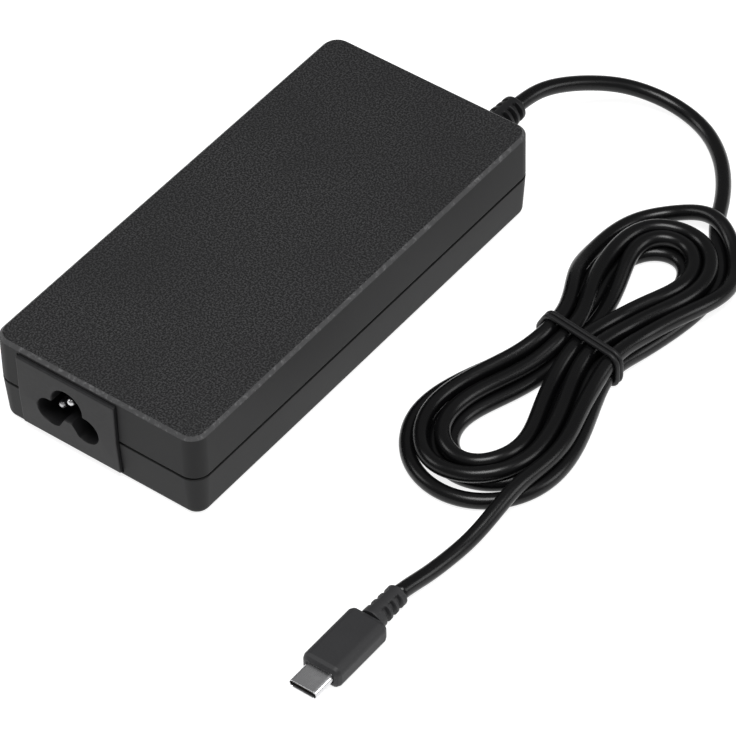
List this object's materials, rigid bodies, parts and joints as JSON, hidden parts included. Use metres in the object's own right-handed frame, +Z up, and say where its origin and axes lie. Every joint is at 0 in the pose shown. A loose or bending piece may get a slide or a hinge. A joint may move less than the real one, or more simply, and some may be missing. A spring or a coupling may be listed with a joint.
{
  "type": "laptop power adapter",
  "caption": "Laptop power adapter: moulded housing with a cloverleaf mains inlet and a captive output cord, tied in a hank, that ends in a USB-C plug.",
  "frame": {"origin": "middle of the adapter's footprint, on the surface that it stands on; the cord, hank and plug lie beside it on the same surface", "axes": "+Y along the adapter from the mains inlet to the output cord's exit, +Z up, +X towards the hank"},
  "size_m": [0.129, 0.2239, 0.028],
  "materials": {
    "housing": "black moulded plastic, spark-eroded top, satin sides",
    "inlet_plastic": "black moulded plastic, smooth satin",
    "rubber": "black flexible moulding, satin",
    "cord_jacket": "black flexible jacket, semi-gloss",
    "plug_plastic": "dark grey moulding, matte",
    "bare_metal": "bright plated metal",
    "label": "blank dark film, satin",
    "circuit_board": "green solder mask, satin",
    "film": "dark insulating film",
    "aluminium": "rolled sheet, satin",
    "copper": "enamelled copper wire",
    "ferrite": "grey ferrite, matte",
    "chip": "black moulded epoxy, matte",
    "tape": "yellow winding tape",
    "capacitor_sleeve": "dark blue shrink sleeve",
    "yellow_plastic": "yellow moulded case",
    "blue_coating": "blue dipped coating",
    "green_coating": "green dipped coating",
    "ceramic": "glazed ceramic tube",
    "silicone": "soft grey gap filler",
    "red_wire": "red insulation",
    "blue_wire": "blue insulation",
    "brown_wire": "brown insulation",
    "green_wire": "green insulation",
    "gold": "gold-plated contact"
  },
  "bodies": {
    "root": {"upper_housing": "housing", "lower_housing": "housing", "rating_label": "label", "inlet_body": "inlet_plastic", "inlet_pin_live": "bare_metal", "inlet_pin_neutral": "bare_metal", "inlet_pin_earth": "bare_metal", "inlet_lead_live": "brown_wire", "inlet_lead_neutral": "blue_wire", "inlet_lead_earth": "green_wire", "output_strain_relief": "rubber", "output_wire_positive": "red_wire", "output_wire_return": "film", "output_wire_signal": "green_wire", "main_board": "circuit_board", "upper_heat_spreader": "aluminium", "lower_heat_spreader": "aluminium", "insulation_sheet": "film", "fuse": "ceramic", "inrush_thermistor": "green_coating", "film_capacitor": "yellow_plastic", "mains_choke_core": "ferrite", "mains_choke_winding_live": "copper", "mains_choke_winding_neutral": "copper", "bridge_rectifier": "chip", "boost_inductor_core": "ferrite", "boost_inductor_winding": "copper", "bulk_capacitor_1": "capacitor_sleeve", "bulk_capacitor_2": "capacitor_sleeve", "primary_heat_sink": "aluminium", "boost_transistor": "chip", "main_transistor": "chip", "transformer_core": "ferrite", "transformer_winding": "tape", "gap_pad": "silicone", "safety_capacitor": "blue_coating", "opto_coupler_1": "chip", "opto_coupler_2": "chip", "secondary_heat_sink": "aluminium", "rectifier_transistor": "chip", "output_capacitor_1": "bare_metal", "output_capacitor_2": "bare_metal", "output_capacitor_3": "bare_metal", "output_choke_core": "ferrite", "output_choke_winding": "copper", "control_board": "circuit_board", "controller_chip": "chip", "lead_out_cord": "cord_jacket", "cord_hank": "cord_jacket", "cord_tie": "rubber", "plug_lead_cord": "cord_jacket", "plug_strain_relief": "plug_plastic", "plug_body": "plug_plastic", "plug_shell": "bare_metal", "contact_carrier": "chip", "contact_row_upper": "gold", "contact_row_lower": "gold", "plug_board": "circuit_board"},
    "latch_left": {"latch_spring_left": "bare_metal"},
    "latch_right": {"latch_spring_right": "bare_metal"}
  },
  "joints": [
    {"name": "latch_left_flex", "type": "hinge", "parent": "root", "child": "latch_left", "pos_m": [0.08443, -0.0943, 0.00335], "axis": [0, 0, -1], "range_deg": [0, 2.5], "stiffness_Nm_per_rad": 0.02},
    {"name": "latch_right_flex", "type": "hinge", "parent": "root", "child": "latch_right", "pos_m": [0.09137, -0.0943, 0.00335], "axis": [0, 0, 1], "range_deg": [0, 2.5], "stiffness_Nm_per_rad": 0.02}
  ]
}
